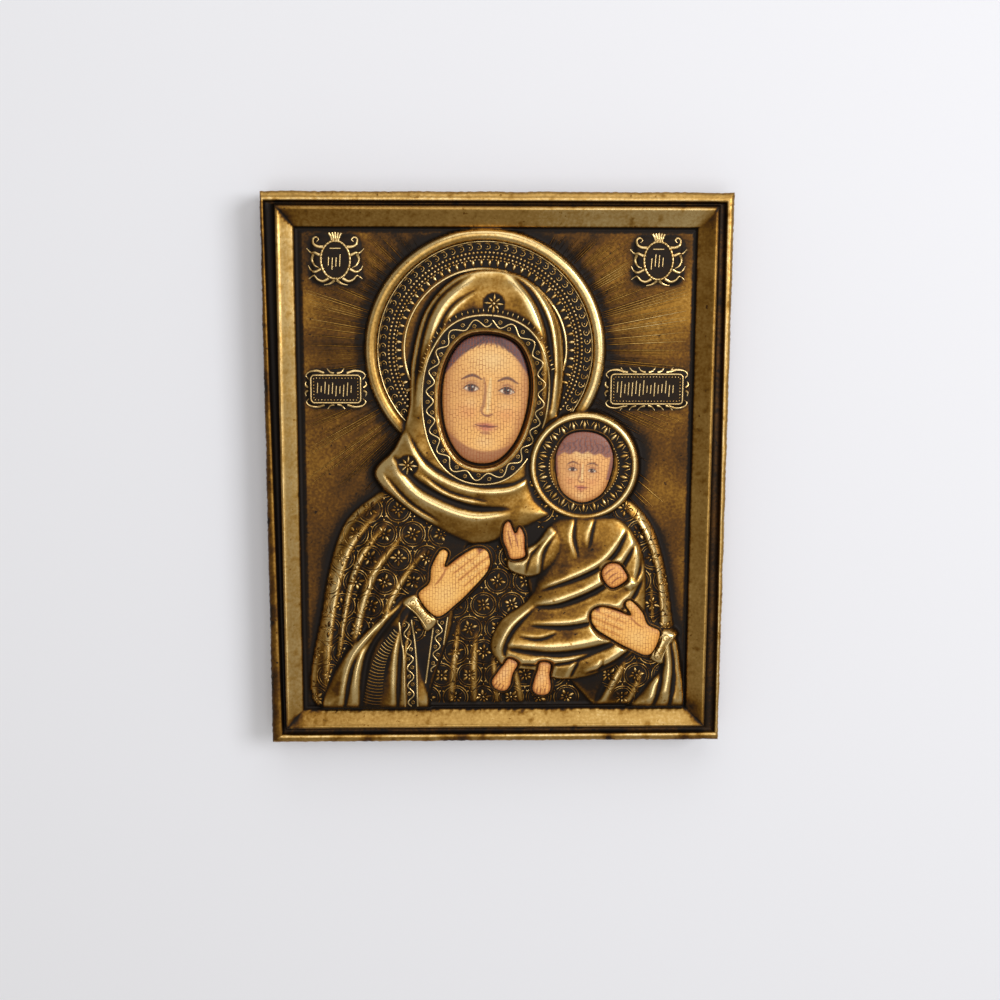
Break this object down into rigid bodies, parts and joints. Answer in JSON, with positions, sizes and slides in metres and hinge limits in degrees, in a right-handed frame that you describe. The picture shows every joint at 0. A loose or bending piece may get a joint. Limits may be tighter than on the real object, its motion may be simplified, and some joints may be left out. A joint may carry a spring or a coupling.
{
  "type": "icon panel",
  "caption": "Rectangular icon panel: a pressed brass cover with a haloed mother-and-child relief and raised border, folded over a board, with printed faces and hands in its windows.",
  "frame": {"origin": "centre of the panel's back, on the surface it lies on", "axes": "+X to the viewer's right, +Y to the top of the picture, +Z out of the picture's face"},
  "size_m": [0.115, 0.139, 0.0149],
  "materials": {
    "fibreboard": "raw brown fibreboard",
    "printed_paper": "satin print of warm flesh tones with a fine crackle",
    "antiqued_brass": "pressed and rubbed bright on the high spots, with a black-brown patina in the hollows"
  },
  "bodies": {
    "root": {"backing_board": "fibreboard", "printed_card": "printed_paper", "pressed_cover": "antiqued_brass"}
  },
  "joints": []
}
